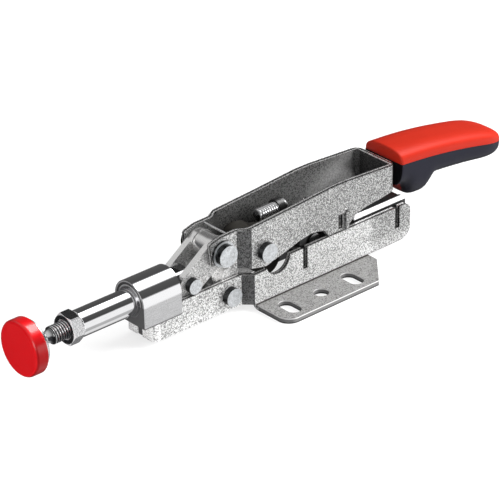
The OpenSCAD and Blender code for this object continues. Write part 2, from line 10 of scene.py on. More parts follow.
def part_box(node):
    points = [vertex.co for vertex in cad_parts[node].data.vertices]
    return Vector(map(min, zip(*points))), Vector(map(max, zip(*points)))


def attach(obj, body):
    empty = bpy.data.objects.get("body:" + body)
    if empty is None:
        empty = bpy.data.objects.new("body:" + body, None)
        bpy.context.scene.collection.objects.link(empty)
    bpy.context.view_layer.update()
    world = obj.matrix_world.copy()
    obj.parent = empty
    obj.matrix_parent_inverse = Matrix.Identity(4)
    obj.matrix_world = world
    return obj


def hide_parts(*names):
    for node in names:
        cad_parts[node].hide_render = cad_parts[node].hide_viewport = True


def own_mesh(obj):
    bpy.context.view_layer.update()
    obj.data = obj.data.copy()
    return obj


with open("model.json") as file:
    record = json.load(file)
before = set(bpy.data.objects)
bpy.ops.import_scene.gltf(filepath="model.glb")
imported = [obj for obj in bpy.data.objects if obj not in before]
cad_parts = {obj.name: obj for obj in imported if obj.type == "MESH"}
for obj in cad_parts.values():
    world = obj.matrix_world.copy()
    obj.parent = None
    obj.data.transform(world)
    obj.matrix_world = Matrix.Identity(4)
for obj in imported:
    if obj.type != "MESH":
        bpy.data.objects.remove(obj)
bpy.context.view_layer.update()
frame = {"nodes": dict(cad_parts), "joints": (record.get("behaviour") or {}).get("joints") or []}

bl_info = {
    "name": "Toggle Clamp Dressing",
    "version": (1, 0, 0),
    "blender": (4, 5, 0),
    "location": "View3D > Sidebar > Clamp",
    "description": "Finishes, threads and the moulded grip of an in-line toggle clamp",
    "category": "Object",
}

MM = 0.001

# Height of the axis that the plunger, nut and spindle share
AXIS_Z = sum(corner.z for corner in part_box("plunger")) / 2

# Spindle: ball, neck and cone, and how far the thread shows in front of the nut
BALL_R, NECK_R, CONE_LEN, THREAD_OUT = 3.4 * MM, 2.1 * MM, 3 * MM, 7 * MM

# Lock nut: turn of its flats about the axis, rounding of its corners, bevel of its bore
NUT_TURN, NUT_ROUND, NUT_BEVEL = math.radians(6), 0.7 * MM, 0.5 * MM

# Adjusting screw: half width of its socket and the socket's depth, then its thread and end bevel
SOCKET_R, SOCKET_DEPTH = 2 * MM, 3 * MM
SCREW_PITCH, SCREW_DEPTH, SCREW_BEVEL = 1.25 * MM, 0.6 * MM, 0.7 * MM

# Spring: radius of its wire, its turns, and how far the carriage pushes it together
WIRE_R, SPRING_TURNS = 0.55 * MM, 9
CARRIAGE_TRAVEL = next(joint["range_m"][1] for joint in frame["joints"]
                       if joint["name"] == "carriage_slide")

# Height under which the guide block gets painted shade between the frame halves
BLOCK_FOOT = 11.5 * MM

# Sheet of the frame and the handle: its thickness, and where its middle lies in their narrow parts
SHEET_T, SHEET_Y = 2.5 * MM, 8.25 * MM

# Where the handle steps out, by how much, and the middle of its end wall
HANDLE_STEP_X, HANDLE_STEP, HANDLE_END = -31.7 * MM, 3 * MM, 54.75 * MM

# Where the frame steps out, by how much, the middle of its front wall, and its outer faces
FRAME_STEP_X, FRAME_STEP = -30 * MM, 4 * MM
FRAME_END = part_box("frame_left")[0].x + SHEET_T / 2
FRAME_SIDE = SHEET_Y + FRAME_STEP + SHEET_T / 2

# Camera, fitted to the photo: angles in degrees, lens in millimetres, places in metres
CAMERA_AZIMUTH, CAMERA_ELEVATION, CAMERA_ROLL = -40.912, 28.294, -1.098
CAMERA_LENS, CAMERA_DISTANCE = 219.8, 1.311
CAMERA_TARGET = (-0.01829, 0.0, 0.02046)
CAMERA_SHIFT = (-0.00264, -0.00044)

# Floor: half its width, and how far it lies under the part
FLOOR_HALF, FLOOR_GAP = 3.0, 0.05 * MM

# Lamps: name, place, size and power
LAMPS = (("key", (1.5, -1.24, 0.84), 1.0, 105.0),
         ("top", (0.2, -0.2, 1.8), 1.6, 3.0),
         ("fill", (-1.6, -0.9, 0.5), 1.0, 12.0))

# Brightness of the room round the clamp's long axis, by angle: 0 is the near side, 90 is above
ROOM_BANDS = ((-180, 0.10), (-102, 0.10), (-88, 0.85), (-62, 0.85), (-57, 0.48), (-34, 0.52),
              (-29, 1.0), (15, 1.0), (21, 0.07), (60, 0.09), (66, 1.35), (111, 1.35),
              (117, 0.07), (180, 0.10))

# Bright card over the clamp: its edges along the clamp, and its edges by angle
CARD_X, CARD_ANGLES = (0.46, 0.70), (74, 106)


class ClampSizes(bpy.types.PropertyGroup):
    """Sizes of the fine detail."""
    thread_pitch: bpy.props.FloatProperty(
        name="Thread pitch", description="Pitch of the spindle's thread",
        default=1.25 * MM, min=0.5 * MM, max=2 * MM, unit="LENGTH", precision=5)
    thread_depth: bpy.props.FloatProperty(
        name="Thread depth", description="Depth of the spindle's thread",
        default=0.62 * MM, min=0.1 * MM, max=1 * MM, unit="LENGTH", precision=5)
    grain: bpy.props.FloatProperty(
        name="Grain size", description="Size of one grain of the sheet's plating",
        default=0.54 * MM, min=0.1 * MM, max=3 * MM, unit="LENGTH", precision=5)
    edge_round: bpy.props.FloatProperty(
        name="Edge rounding", description="Rounding of the sheet's cut edges",
        default=0.25 * MM, min=0.05 * MM, max=0.6 * MM, unit="LENGTH", precision=5)


class ClampFinishes(bpy.types.PropertyGroup):
    """Colours of the finishes."""
    zinc: bpy.props.FloatVectorProperty(
        name="Zinc sheet", description="Colour of the plated sheet", subtype="COLOR",
        default=(0.80, 0.795, 0.79), min=0, max=1)
    steel: bpy.props.FloatVectorProperty(
        name="Ground steel", description="Colour of the ground and polished steel", subtype="COLOR",
        default=(0.86, 0.86, 0.87), min=0, max=1)
    rivet: bpy.props.FloatVectorProperty(
        name="Rivet heads", description="Colour of the rivet heads", subtype="COLOR",
        default=(0.70, 0.72, 0.74), min=0, max=1)
    vinyl: bpy.props.FloatVectorProperty(
        name="Red cap", description="Colour of the soft cap", subtype="COLOR",
        default=(0.52, 0.001, 0.004), min=0, max=1)
    grip_red: bpy.props.FloatVectorProperty(
        name="Red grip", description="Colour of the grip's upper shell", subtype="COLOR",
        default=(0.355, 0.0145, 0.005), min=0, max=1)
    grip_dark: bpy.props.FloatVectorProperty(
        name="Dark grip", description="Colour of the grip's lower shell", subtype="COLOR",
        default=(0.009, 0.009, 0.015), min=0, max=1)


class Value:
    """One output of a shader node. Arithmetic on it adds Math nodes."""

    def __init__(self, graph, socket):
        self.graph, self.socket = graph, socket

    def math(self, operation, a, b=0.0):
        """Adds one Math node."""
        return self.graph.add("ShaderNodeMath", {"operation": operation}, {0: a, 1: b})

    def __add__(self, other):
        return self.math("ADD", self, other)

    def __radd__(self, other):
        return self.math("ADD", other, self)

    def __sub__(self, other):
        return self.math("SUBTRACT", self, other)

    def __rsub__(self, other):
        return self.math("SUBTRACT", other, self)

    def __mul__(self, other):
        return self.math("MULTIPLY", self, other)

    def __rmul__(self, other):
        return self.math("MULTIPLY", other, self)

    def __truediv__(self, other):
        return self.math("DIVIDE", self, other)

    def __rtruediv__(self, other):
        return self.math("DIVIDE", other, self)

    def __pow__(self, other):
        return self.math("POWER", self, other)

    def __neg__(self):
        return self.math("MULTIPLY", self, -1.0)

    def __abs__(self):
        return self.math("ABSOLUTE", self)

    def above(self, edge, soft=0.0):
        """1 where the value is above an edge, with a soft step of that width."""
        if not soft:
            return self.math("GREATER_THAN", self, edge)
        return self.graph.add("ShaderNodeMapRange", {"interpolation_type": "SMOOTHSTEP"},
                              {"Value": self, "From Min": edge - soft / 2, "From Max": edge + soft / 2,
                               "To Min": 0.0, "To Max": 1.0})

    def most(self, other):
        """The larger of two values."""
        return self.math("MAXIMUM", self, other)

    def least(self, other):
        """The smaller of two values."""
        return self.math("MINIMUM", self, other)

    def held(self):
        """The value held between 0 and 1."""
        return self.most(0.0).least(1.0)


class Graph:
    """A node tree that is built from expressions."""

    def __init__(self, tree):
        self.tree = tree
        tree.nodes.clear()

    def add(self, kind, settings=None, sockets=None, output=0):
        """Adds a node: settings first, then values or links on its sockets."""
        node = self.tree.nodes.new(kind)
        for name, value in (settings or {}).items():
            if name == "stops":
                ramp = node.color_ramp
                while len(ramp.elements) < len(value):
                    ramp.elements.new(0.5)
                for element, (place, colour) in zip(ramp.elements, value):
                    element.position, element.color = place, (*colour, 1.0)
            else:
                setattr(node, name, value)
        for name, value in (sockets or {}).items():
            socket = node.inputs[name]
            if isinstance(value, Value):
                self.tree.links.new(value.socket, socket)
            elif socket.type == "RGBA" and not isinstance(value, (int, float)) and len(value) == 3:
                socket.default_value = (*value, 1.0)
            else:
                socket.default_value = value
        return Value(self, node.outputs[output])

    def outputs(self, value, name):
        """Another output of the node that a value comes from."""
        return Value(self, value.socket.node.outputs[name])

    def place(self):
        """The point on the piece, in metres."""
        return self.add("ShaderNodeTexCoord", output="Object")

    def split(self, vector):
        """The three parts of a vector."""
        x = self.add("ShaderNodeSeparateXYZ", {}, {0: vector})
        return x, self.outputs(x, "Y"), self.outputs(x, "Z")

    def facing(self):
        """Sizes of the surface direction along each axis."""
        normal = self.add("ShaderNodeTexCoord", output="Normal")
        return self.split(normal)

    def mix(self, factor, a, b):
        """Mixes two colours."""
        return self.add("ShaderNodeMix", {"data_type": "RGBA"}, {"Factor": factor, 6: a, 7: b}, 2)

    def noise(self, size, detail=2.0, rough=0.5, stretch=(1, 1, 1), seed=0.0):
        """Noise whose lumps have that size in metres."""
        spot = self.add("ShaderNodeVectorMath", {"operation": "MULTIPLY"},
                        {0: self.place(), 1: [s / size for s in stretch]})
        return self.add("ShaderNodeTexNoise", {"noise_dimensions": "4D"},
                        {"Vector": spot, "W": seed, "Scale": 1.0, "Detail": detail, "Roughness": rough})

    def speckle(self, size, seed=0.0):
        """A random value for each grain of that size in metres."""
        spot = self.add("ShaderNodeVectorMath", {"operation": "MULTIPLY"},
                        {0: self.place(), 1: [1 / size] * 3})
        cell = self.add("ShaderNodeTexVoronoi", {"voronoi_dimensions": "4D"},
                        {"Vector": spot, "W": seed, "Scale": 1.0}, "Color")
        return self.split(cell)[0]

    def finish(self, shader):
        """Adds the output and links the shader to it."""
        kind = "World" if isinstance(self.tree.id_data, bpy.types.World) else "Material"
        node = self.tree.nodes.new("ShaderNodeOutput" + kind)
        self.tree.links.new(shader.socket, node.inputs["Surface"])

    def bump(self, height, distance, strength):
        """A surface direction from a height of 0 to 1 that stands for a distance in metres."""
        return self.add("ShaderNodeBump", {}, {"Height": height, "Distance": distance,
                                               "Strength": strength})


def new_material(name):
    """An empty material and its graph."""
    material = bpy.data.materials.new(name)
    material.use_nodes = True
    return material, Graph(material.node_tree)


def finish_material(graph, **sockets):
    """Adds the surface shader with these socket values, and the output."""
    names = {key.replace("_", " ").title().replace("Ior", "IOR"): value for key, value in sockets.items()}
    shader = graph.add("ShaderNodeBsdfPrincipled", {}, names)
    graph.finish(shader)


def shades(colour, low, high):
    """Two colours: the given one at these two shares of its brightness."""
    return [c * low for c in colour], [min(1.0, c * high) for c in colour]


def sheet_material(name, colour, grain, sides, cut_over=None):
    """Plated sheet: a sandy grain on the flat faces, painted shade on the bends, the inner faces and the
    faces that look up, and cut edges painted dark with bright lines as painted highlights.

    sides takes the place, and gives 1 on inner faces, the painted brightness of the inner faces, the
    distance from the middle of the sheet outwards, and the painted light of an outer face there, which is
    painted shade where it is below 0.
    cut_over is the height over which faces that look up or along the clamp are cut edges. It is
    given for the frame, which also has flanges."""
    material, g = new_material(name)
    x, y, z = g.split(g.place())
    ny, nz = g.facing()[1:]
    inner, light, across, painted_lift = sides(x, y, z)
    fine = g.noise(grain, 1.0, 0.6)
    spark = g.speckle(grain * 0.8, 5.0)
    coarse = g.noise(grain * 14, 2.0, seed=3.0)
    # The painted light and shade of the outer faces is added to the grain here.
    flat = (fine - 0.5) * 6.0 + (spark - 0.5) * 1.9 + (coarse - 0.5) * 0.35 + painted_lift * 0.19 + 0.57
    shade = g.mix(flat.held(), *shades(colour, 0.34, 1.26))
    # Painted shade: faces that look up are darkened towards a dark grey.
    flange = nz.above(0.8, 0.2)
    # Painted shade on the bends where the sheet steps out, left off at the front lip.
    bend = abs(ny).above(0.3, 0.2) * (1.0 - abs(ny).above(0.93, 0.08)) * x.above(-70 * MM)
    shade = g.mix(flange * 0.62, shade, (0.13, 0.125, 0.12))
    shade = g.mix(bend * (0.57 if cut_over is None else 0.76), shade, (0.04, 0.04, 0.042))
    # Cut edges are painted dark as shade, with two bright lines painted on as highlights.
    cut = 1.0 - abs(ny).above(0.5, 0.3)
    if cut_over is not None:
        cut = cut * z.above(cut_over, 0.6 * MM)
    wave = across + (g.noise(1.1 * MM, 2.0, stretch=(0.2, 1.0, 0.2), seed=8.0) - 0.5) * (0.3 * MM)
    outer_line = wave.above(0.75 * MM, 0.2 * MM)
    inner_line = wave.above(-0.95 * MM, 0.2 * MM) * (1.0 - wave.above(0.0, 0.2 * MM))
    lines = outer_line + inner_line
    shade = g.mix(cut * 0.95, shade, g.mix(lines.held(), *shades(colour, 0.09, 1.25)))
    # Painted shade on the inner faces, lighter where the sides give painted light.
    painted_inner_shade = g.mix(light, *shades(colour, 0.09, 0.85))
    shade = g.mix(inner * (1.0 - cut), shade, g.mix(0.35, painted_inner_shade, shade))
    if cut_over is not None:
        shade = flange_edges(g, shade, colour, y, z, nz)
    height = (fine * 0.7 + spark * 0.3) * (1.0 - cut * 0.7)
    lip = 1.0 - x.above(FRAME_END + 2.25 * MM, 2 * MM)
    finish_material(g, base_color=shade, metallic=(0.88 - painted_lift * 0.12) * (1.0 - lip * 0.6),
                    roughness=0.42 + (spark - 0.5) * 0.2 - cut * 0.14,
                    normal=g.bump(height, 0.10 * MM, 0.6))
    return material


def flange_edges(g, shade, colour, y, z, nz):
    """Grey cut rim round each flange with a painted highlight on its upper arris and painted shade at its
    foot, and painted shade in the crease at its root.
    """
    out = abs(y) - FRAME_SIDE
    rim = out.above(1.0 * MM, 0.2 * MM) * (1.0 - abs(nz).above(0.8, 0.2))
    rim = rim * (1.0 - z.above(SHEET_T + 0.2 * MM))
    arris = z.above(SHEET_T - 0.55 * MM, 0.3 * MM)
    foot = 1.0 - z.above(0.55 * MM, 0.3 * MM)
    band = g.mix(foot, g.mix(arris, shades(colour, 0.34, 1)[0], shades(colour, 1, 1.2)[1]),
                 shades(colour, 0.08, 1)[0])
    root = (1.0 - out.above(0.45 * MM, 0.3 * MM)) * out.above(-0.2 * MM)
    root = root * (1.0 - z.above(SHEET_T + 0.5 * MM, 0.3 * MM)) * z.above(1.0 * MM)
    return g.mix(root * 0.9, g.mix(rim, shade, band), (0.05, 0.04, 0.035))


def handle_sides(x, y, z):
    """Inner faces of the handle, which get painted shade that is lighter low down at the rear, the place
    across its sheet, and painted shade on its outer faces that grows towards the rear.
    """
    middle = x.above(HANDLE_STEP_X, 6 * MM) * HANDLE_STEP + SHEET_Y
    across = (abs(y) - middle).most(x - HANDLE_END)
    outer = across.above(0.0, 0.2 * MM)
    # Painted light on the inner faces, low down at the rear.
    light = (x - z * 1.3 + 19 * MM).above(7 * MM, 22 * MM) * (1.0 - x.above(50 * MM, 3 * MM))
    return 1.0 - outer, light, across, outer * (-0.3 - x.above(-5 * MM, 30 * MM) * 0.6)


def frame_sides(x, y, z):
    """Inner faces of the frame, which get painted shade, the place across its sheet, and painted light
    and shade on its outer faces.
    """
    middle = x.above(FRAME_STEP_X, 4 * MM) * FRAME_STEP + SHEET_Y
    across = (abs(y) - middle).most(FRAME_END - x)
    outer = across.above(0.0, 0.2 * MM)
    # Painted light and shade on the outer faces: lighter low down, darker at the rear and low at the
    # front.
    low = 1.0 - z.above(7 * MM, 9 * MM)
    rear, front = x.above(40 * MM, 5 * MM), 1.0 - x.above(-72 * MM, 15 * MM)
    painted_lift = low * 0.75 + 0.55 - rear * (1.35 - low * 0.3) - front * low * 1.2
    return 1.0 - outer, 0.35, across, painted_lift * outer


def steel_material(name, colour, roughness, streak=(1, 1, 1), size=0.4 * MM, depth=0.012 * MM,
                   tint=0.12, painted_shade_from=None):
    """Machined steel with fine marks drawn out along one way, and painted shade behind a place along the
    clamp.
    """
    material, g = new_material(name)
    marks = g.noise(size, 3.0, 0.6, stretch=streak)
    cloud = g.noise(6 * MM, 2.0, seed=2.0)
    shade = g.mix(marks * 0.6 + cloud * 0.4, *shades(colour, 1 - tint, 1 + tint))
    if painted_shade_from is not None:
        x = g.split(g.place())[0]
        shade = g.mix(x.above(painted_shade_from, 0.4 * MM) * 0.85, shade, (0.03, 0.03, 0.03))
    finish_material(g, base_color=shade, metallic=1.0,
                    roughness=roughness + (marks - 0.5) * roughness * 0.8,
                    normal=g.bump(marks, depth, 0.6))
    return material


def thread_material(name, colour, axis_z, crest, depth, dark=0.94):
    """Bright thread round an axis along X, with painted shade in its roots and in its socket."""
    material, g = new_material(name)
    y, z = g.split(g.place())[1:]
    nx = g.facing()[0]
    deep = (crest - (y * y + (z - axis_z) * (z - axis_z)) ** 0.5) / depth
    root = deep.above(0.45, 0.4) * (1.0 - deep.above(1.25, 0.1))
    socket = deep.above(1.3, 0.2) * abs(nx).above(0.5, 0.2)
    marks = g.noise(0.4 * MM, 2.0, 0.6)
    bright = g.mix(marks, *shades(colour, 0.82, 1.12))
    shade = g.mix((root * dark + socket).least(0.96), bright, (0.03, 0.03, 0.03))
    finish_material(g, base_color=shade, metallic=1.0, roughness=0.16 + root * 0.2,
                    normal=g.bump(marks, 0.012 * MM, 0.5))
    return material


def block_material(name, colour, grain):
    """Guide block: a polished arch over satin flanks, with turned rings on the ends."""
    material, g = new_material(name)
    y, z = g.split(g.place())[1:]
    end = abs(g.facing()[0]).above(0.7, 0.2)
    arch = z.above(AXIS_Z, 0.25 * MM)
    radius = (y * y + (z - AXIS_Z) * (z - AXIS_Z)) ** 0.5
    rings = g.add("ShaderNodeMath", {"operation": "SINE"}, {0: radius * (2 * math.pi / (1.7 * MM))})
    fine = g.noise(grain * 0.6, 3.0, 0.6)
    draw = g.noise(0.25 * MM, 2.0, stretch=(0.03, 1, 1), seed=4.0)
    flank = g.mix(((fine - 0.5) * 2.2 + (draw - 0.5) * 1.2 + 0.5).held(), *shades(colour, 0.48, 0.88))
    # Painted shade along the foot of the flanks, between the frame halves.
    flank = g.mix((1.0 - z.above(BLOCK_FOOT, 0.3 * MM)) * 0.8, flank, (0.05, 0.05, 0.05))
    # The ends: turned rings, whose bright arcs are partly painted highlight, on a dark ground that is
    # painted shade, darker still below the arch.
    turned = g.mix((rings * 0.9 + fine * 0.8 - 0.5).held(), *shades(colour, 0.10, 0.9))
    turned = g.mix(1.0 - arch * 0.9, turned, shades(colour, 0.14, 1)[0])
    shade = g.mix(end, g.mix(arch, flank, shades(colour, 1, 1.08)[1]), turned)
    rough = 0.42 - arch * (1.0 - end) * 0.34 - end * 0.14
    height = fine * (1.0 - arch) * 0.5 + rings * end * arch * 0.2
    finish_material(g, base_color=shade, metallic=0.85 + arch * 0.15 - end * 0.45, roughness=rough,
                    normal=g.bump(height, 0.05 * MM, 0.5))
    return material


def rivet_material(name, colour):
    """Upset rivet heads with clouded tops and smooth sides painted dark as shade."""
    material, g = new_material(name)
    side = 1.0 - abs(g.facing()[1]).above(0.6, 0.3)
    cloud = g.noise(1.6 * MM, 2.0)
    fine = g.noise(0.5 * MM, 2.0, seed=6.0)
    top = g.mix(((cloud - 0.5) * 1.6 + (fine - 0.5) * 1.8 + 0.5).held(), *shades(colour, 0.70, 1.25))
    finish_material(g, base_color=g.mix(side, top, shades(colour, 0.07, 1)[0]),
                    metallic=0.85 + side * 0.15, roughness=0.36 - side * 0.14,
                    normal=g.bump(cloud, 0.04 * MM, 0.5))
    return material


def link_material(name, colour, grain, metallic=0.85):
    """Links: sandy faces and smooth rounded edges, painted brighter as a highlight."""
    material, g = new_material(name)
    edge = 1.0 - abs(g.facing()[1]).above(0.6, 0.3)
    fine = g.noise(grain, 2.0, 0.6)
    spark = g.speckle(grain * 0.8, 5.0)
    face = g.mix(((fine - 0.5) * 3.2 + (spark - 0.5) * 1.1 + 0.5).held(), *shades(colour, 0.48, 1.24))
    draw = g.noise(0.3 * MM, 2.0, stretch=(1, 0.1, 1), seed=4.0)
    shade = g.mix(edge, face, g.mix(draw, *shades(colour, 1.0, 1.25)))
    finish_material(g, base_color=shade, metallic=edge * (0.95 - metallic) + metallic,
                    roughness=0.42 - edge * 0.2, normal=g.bump(fine * (1.0 - edge), 0.10 * MM, 0.6))
    return material


def nut_material(name, colour):
    """Nut with a sandy skin on its flats, of which the top one is painted dark as shade, chamfers painted
    pale as a highlight, and dark turned ends."""
    material, g = new_material(name)
    normal = g.facing()
    flats = 1.0 - abs(normal[0]).above(0.25, 0.15)
    ends = abs(normal[0]).above(0.94, 0.06)
    fine = g.noise(0.5 * MM, 2.0, 0.6)
    skin = g.mix(((fine - 0.5) * 2.6 + 0.5).held(), *shades(colour, 0.55, 1.1))
    skin = g.mix(normal[2].above(0.85, 0.1) * 0.88, skin, (0.02, 0.02, 0.022))
    rim = g.mix(ends, shades(colour, 1, 1.12)[1], shades(colour, 0.22, 1)[0])
    finish_material(g, base_color=g.mix(flats, rim, skin),
                    metallic=0.45 + (flats + ends).least(1.0) * 0.5, roughness=0.24 + flats * 0.02,
                    normal=g.bump(fine * flats, 0.04 * MM, 0.5))
    return material


def plastic_material(name, colour, roughness, front=1.0, gloss=0.0, under=1.0, side=1.0):
    """Moulded plastic or vinyl with a faint skin texture.

    front, under and side are the shares of brightness that faces which look forward, down or
    sideways keep, as painted shade, and gloss is the weight of a coat that only faces which look up get."""
    material, g = new_material(name)
    nx, ny, nz = g.facing()
    forward = (nx * -1.0).above(0.75, 0.3)
    skin = g.noise(0.35 * MM, 2.0, 0.5)
    cloud = g.noise(9 * MM, 2.0, seed=1.0)
    shade = g.mix(cloud * 0.6 + skin * 0.4, *shades(colour, 0.9, 1.1))
    below = (1.0 - forward) * (1.0 - nz.above(-0.2, 0.7))
    flank = (1.0 - forward) * abs(ny).above(0.72, 0.45)
    dim = (forward * (1.0 - front)).most(below * (1.0 - under)).most(flank * (1.0 - side))
    shade = g.mix(dim, shade, (0.0, 0.0, 0.0))
    finish_material(g, base_color=shade, metallic=0.0, roughness=roughness + (skin - 0.5) * 0.08,
                    specular_ior_level=0.2, coat_weight=(1.0 - forward) * nz.above(0.25, 0.3) * gloss,
                    coat_roughness=0.16, normal=g.bump(skin, 0.01 * MM, 0.5))
    return material


def dress(name, material):
    """Gives a CAD node its finish."""
    node = frame["nodes"][name]
    node.data.materials.clear()
    node.data.materials.append(material)


def soften(name, width):
    """Rounds the sharp edges of a CAD node a little."""
    node = frame["nodes"][name]
    bevel = node.modifiers.new("edges", "BEVEL")
    bevel.width, bevel.segments = width, 2
    bevel.limit_method, bevel.angle_limit = "ANGLE", math.radians(40)
    bevel.use_clamp_overlap = True
    bevel.harden_normals = True


def add_piece(name, mesh, material, body, stands_for=()):
    """Links a new piece, dresses it and ties it to its body."""
    piece = bpy.data.objects.new(name, mesh)
    bpy.context.scene.collection.objects.link(piece)
    piece.data.materials.append(material)
    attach(piece, body)
    if stands_for:
        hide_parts(*stands_for)
    return piece


def smooth_mesh(name, points, faces, sharp):
    """A mesh with smooth faces, and sharp edges over an angle in degrees, if one is given."""
    mesh = bpy.data.meshes.new(name)
    mesh.from_pydata(points, [], faces)
    mesh.validate()
    mesh.update()
    mesh.shade_smooth()
    if sharp:
        mesh.set_sharp_from_angle(angle=math.radians(sharp))
    return mesh


def turned_mesh(name, axis_z, rings, steps, sharp):
    """Closed mesh round an axis along X. Each ring is a place on the axis and a radius,
    or a function that gives the radius for an angle."""
    points = []
    for x, radius in rings:
        for k in range(steps):
            a = 2 * math.pi * k / steps
            r = radius(a) if callable(radius) else radius
            points.append((x, r * math.cos(a), axis_z + r * math.sin(a)))
    faces = []
    for i in range(len(rings) - 1):
        for k in range(steps):
            n = (k + 1) % steps
            a, b = i * steps, (i + 1) * steps
            faces.append((a + k, a + n, b + n, b + k))
    for i, order in ((0, -1), (len(rings) - 1, 1)):
        middle = len(points)
        points.append((rings[i][0], 0.0, axis_z))
        for k in range(steps):
            n = (k + 1) % steps
            edge = (i * steps + k, i * steps + n)
            faces.append((middle, *edge[::order]))
    return smooth_mesh(name, points, faces, sharp)


def thread_rings(start, end, crest, pitch, depth, fade):
    """Rings of a helical thread, which fades in at its start and out at its end."""
    rings, per_turn = [], 14
    count = max(2, round((end - start) / pitch * per_turn))
    for i in range(count + 1):
        x = start + (end - start) * i / count
        cut = depth * min(1.0, (x - start) / fade + 0.25, (end - x) / fade + 0.25)

        def radius(a, x=x, cut=cut):
            phase = (x / pitch - a / (2 * math.pi)) % 1.0
            flank = abs(2 * phase - 1)
            return crest - cut * min(1.0, max(0.0, 1.25 * flank - 0.12))

        rings.append((x, radius))
    return rings


class ClampOperator:
    """What the clamp's operators share."""
    bl_options = {"REGISTER", "UNDO"}

    @property
    def sizes(self):
        return bpy.context.scene.clamp_sizes

    @property
    def colours(self):
        return bpy.context.scene.clamp_finishes


class CLAMP_OT_frame(ClampOperator, bpy.types.Operator):
    """Finish the two frame halves, the guide block and the frame pin"""
    bl_idname = "clamp.frame"
    bl_label = "Frame"

    def execute(self, context):
        sheet = sheet_material("zinc_sheet", self.colours.zinc, self.sizes.grain, frame_sides,
                               SHEET_T + 0.7 * MM)
        for name in ("frame_left", "frame_right"):
            dress(name, sheet)
            soften(name, self.sizes.edge_round)
        dress("guide_block", block_material("block_steel", self.colours.steel, self.sizes.grain))
        soften("guide_block", self.sizes.edge_round)
        dress("frame_pin", rivet_material("frame_rivet", self.colours.rivet))
        soften("frame_pin", self.sizes.edge_round)
        return {"FINISHED"}


class CLAMP_OT_plunger(ClampOperator, bpy.types.Operator):
    """Finish the plunger, the nut and the pad disc, and cut the spindle's thread"""
    bl_idname = "clamp.plunger"
    bl_label = "Plunger and spindle"

    def execute(self, context):
        # The plunger is painted dark behind the guide block, as painted shade.
        polished = steel_material("polished_steel", self.colours.steel, 0.07, streak=(0.05, 1, 1),
                                  painted_shade_from=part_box("guide_block")[1].x - 0.3 * MM)
        satin = steel_material("satin_steel", shades(self.colours.steel, 0.84, 1)[0], 0.27, size=0.5 * MM,
                               depth=0.03 * MM, tint=0.16)
        dress("plunger", polished)
        self.make_nut(nut_material("nut_steel", self.colours.steel))
        dress("pad_disc", satin)
        self.make_spindle()
        return {"FINISHED"}

    def make_nut(self, material):
        """Chamfered nut, turned so that one flat lies nearly on top, with rounded corners."""
        low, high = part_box("lock_nut")
        flat, bore = (high.y - low.y) / 2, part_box("spindle")[1].y + 0.05 * MM
        rise = flat * (1 / math.cos(math.pi / 6) - 1) * math.tan(math.pi / 6)
        touch = math.atan((flat - NUT_ROUND) * math.tan(math.pi / 6) / flat)
        arc_at = (flat - NUT_ROUND) / math.cos(math.pi / 6)

        def outline(a):
            t = abs((a - NUT_TURN) % (math.pi / 3) - math.pi / 6)
            if t <= touch:
                return flat / math.cos(t)
            off = math.pi / 6 - t
            return arc_at * math.cos(off) + math.sqrt(NUT_ROUND ** 2 - (arc_at * math.sin(off)) ** 2)

        def limited(most):
            return lambda a: min(outline(a), most)

        half = [(low.x + 1.2 * MM, bore), (low.x + NUT_BEVEL, bore), (low.x, bore + NUT_BEVEL)]
        for i in range(9):
            x = rise * i / 8
            half.append((low.x + x, limited(0.985 * flat + x / math.tan(math.pi / 6) * 1.2)))
        rings = half + [(low.x + high.x - x, r) for x, r in half[::-1]]
        mesh = turned_mesh("nut_chamfered", AXIS_Z, rings, 180, sharp=14)
        add_piece("nut_chamfered", mesh, material, "nut", ("lock_nut",))

    def make_spindle(self):
        """Ball, neck, cone and thread, all turned about one axis."""
        low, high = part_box("spindle")
        crest = (high.y - low.y) / 2
        material = thread_material("spindle_steel", self.colours.steel, AXIS_Z, crest,
                                   self.sizes.thread_depth)
        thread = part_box("lock_nut")[0].x - THREAD_OUT
        cone = thread - CONE_LEN
        join = math.asin(NECK_R / BALL_R)
        rings = []
        for i in range(1, 25):
            a = math.pi - (math.pi - join) * i / 24
            rings.append((low.x + BALL_R + BALL_R * math.cos(a), BALL_R * math.sin(a)))
        rings += [(cone - 0.4 * MM, NECK_R), (cone, NECK_R + 0.15 * MM),
                  (thread - 0.2 * MM, crest - 0.75 * MM), (thread, crest - 0.5 * MM)]
        rings += thread_rings(thread + 0.02 * MM, high.x, crest, self.sizes.thread_pitch,
                              self.sizes.thread_depth, 1.2 * MM)
        mesh = turned_mesh("spindle_threaded", AXIS_Z, rings, 72, sharp=None)
        add_piece("spindle_threaded", mesh, material, "spindle", ("spindle",))


class CLAMP_OT_cap(ClampOperator, bpy.types.Operator):
    """Finish the soft red cap"""
    bl_idname = "clamp.cap"
    bl_label = "Soft cap"

    def execute(self, context):
        # Painted shade: the cap's underside keeps 0.4 of its brightness and its flanks 0.35.
        dress("pad_cap", plastic_material("red_vinyl", self.colours.vinyl, 0.3, gloss=1.0, under=0.4,
                                          side=0.35))
        return {"FINISHED"}


class CLAMP_OT_linkage(ClampOperator, bpy.types.Operator):
    """Finish the links, lever, strut and their pins"""
    bl_idname = "clamp.linkage"
    bl_label = "Linkage"

    def execute(self, context):
        steel = link_material("link_steel", self.colours.zinc, self.sizes.grain)
        for name in ("front_link_left", "front_link_right"):
            dress(name, steel)
        dress("support_lever", link_material("lever_steel", self.colours.zinc, self.sizes.grain, 0.5))
        for name in ("front_link_left", "front_link_right", "support_lever"):
            soften(name, self.sizes.edge_round)
        # The strut's dark colour is painted shade: it stands for the shade it lies in behind the frame's
        # notch.
        dress("strut", steel_material("strut_steel", (0.10, 0.095, 0.085), 0.5, depth=0.03 * MM))
        rivet = rivet_material("rivet_steel", self.colours.rivet)
        for name in ("link_pin", "handle_pin", "handle_pin_washers", "rear_pin"):
            dress(name, rivet)
            soften(name, self.sizes.edge_round)
        dress("anchor_pin", steel_material("anchor_pin_steel", self.colours.steel, 0.2))
        return {"FINISHED"}


